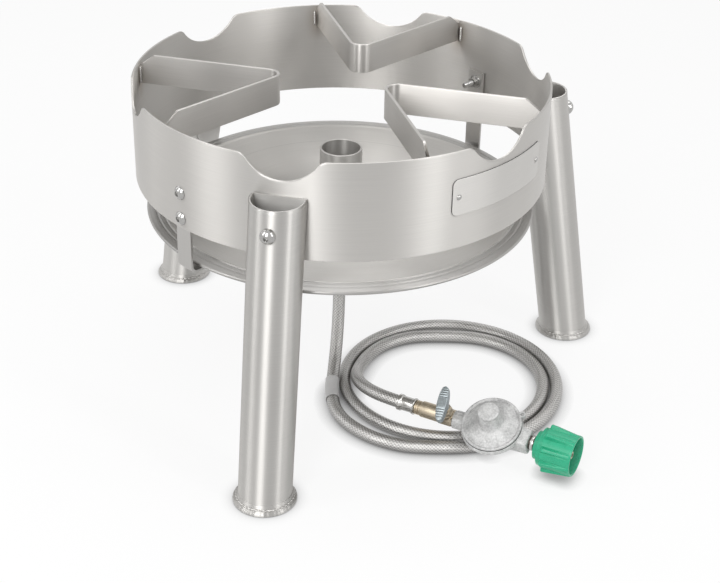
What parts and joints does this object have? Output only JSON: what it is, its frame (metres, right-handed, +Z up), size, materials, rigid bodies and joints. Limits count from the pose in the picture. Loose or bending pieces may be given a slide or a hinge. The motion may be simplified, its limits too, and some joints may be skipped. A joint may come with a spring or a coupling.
{
  "type": "outdoor jet cooker",
  "caption": "Tripod gas cooker with a notched windscreen ring, V-shaped pot supports, a burner pan and tube, and a braided hose with valve, regulator and coupling nut.",
  "frame": {"origin": "on the windscreen ring's axis at floor level", "axes": "+Z up along the ring's axis, +X to the right and +Y to the back as the picture shows it"},
  "size_m": [0.492, 0.492, 0.3301],
  "materials": {
    "sheet_steel": "brushed",
    "tube_steel": "satin",
    "bar_steel": "satin",
    "pan_steel": "satin",
    "fastener_steel": "polished",
    "brass": "satin",
    "zinc": "cast",
    "braid": "braided",
    "crimp": "polished",
    "label": "matte",
    "green_plastic": "satin",
    "black_plastic": "matte",
    "rubber": "matte",
    "plate_metal": "satin",
    "spring_steel": "bright"
  },
  "bodies": {
    "stand": {"burner_bracket": "bar_steel", "burner_pan": "pan_steel", "burner_tube": "pan_steel", "coupling_bushing": "black_plastic", "diaphragm_plate": "spring_steel", "ferrule_burner": "crimp", "ferrule_valve": "crimp", "hanger_strap_left": "bar_steel", "hanger_strap_right": "bar_steel", "hose_coil": "braid", "hose_drop": "braid", "hose_sleeve": "label", "hose_tail": "braid", "inlet_nipple": "brass", "inlet_seat": "brass", "jet_lock_nut": "brass", "jet_orifice": "brass", "leg_bolts": "fastener_steel", "leg_foot_front": "tube_steel", "leg_foot_rear": "tube_steel", "leg_foot_right": "tube_steel", "leg_nuts": "fastener_steel", "leg_plate_front": "tube_steel", "leg_plate_rear": "tube_steel", "leg_plate_right": "tube_steel", "leg_tube_front": "tube_steel", "leg_tube_rear": "tube_steel", "leg_tube_right": "tube_steel", "leg_washers": "fastener_steel", "name_plate": "plate_metal", "name_rivets": "fastener_steel", "nipple_seal": "rubber", "pot_support_left": "bar_steel", "pot_support_rear": "bar_steel", "pot_support_right": "bar_steel", "regulator_adjuster": "black_plastic", "regulator_body": "zinc", "regulator_cap": "zinc", "regulator_cover": "zinc", "regulator_diaphragm": "rubber", "regulator_spring": "spring_steel", "seat_lever": "zinc", "seat_lever_pin": "fastener_steel", "strap_bolts": "fastener_steel", "strap_nuts": "fastener_steel", "strap_washers": "fastener_steel", "valve_body": "brass", "valve_gland_nut": "brass", "windscreen_ring": "sheet_steel"},
    "valve_handle": {"valve_lever": "zinc", "valve_stem": "brass", "lever_screw": "fastener_steel"},
    "coupling": {"coupling_nut": "green_plastic"},
    "swivel": {"hose_swivel_nut": "brass"}
  },
  "joints": [
    {"name": "valve_turn", "type": "hinge", "parent": "stand", "child": "valve_handle", "pos_m": [0.10784, -0.15163, 0.027], "axis": [-0.252, -0.4661, 0.848], "range_deg": [-11, 79]},
    {"name": "coupling_spin", "type": "hinge", "parent": "stand", "child": "coupling", "pos_m": [0.19448, -0.19848, 0.027], "axis": [0.8796, -0.4756, 0], "continuous": true},
    {"name": "swivel_spin", "type": "hinge", "parent": "stand", "child": "swivel", "pos_m": [0, 0, 0.11], "axis": [0, 0, 1], "continuous": true}
  ]
}
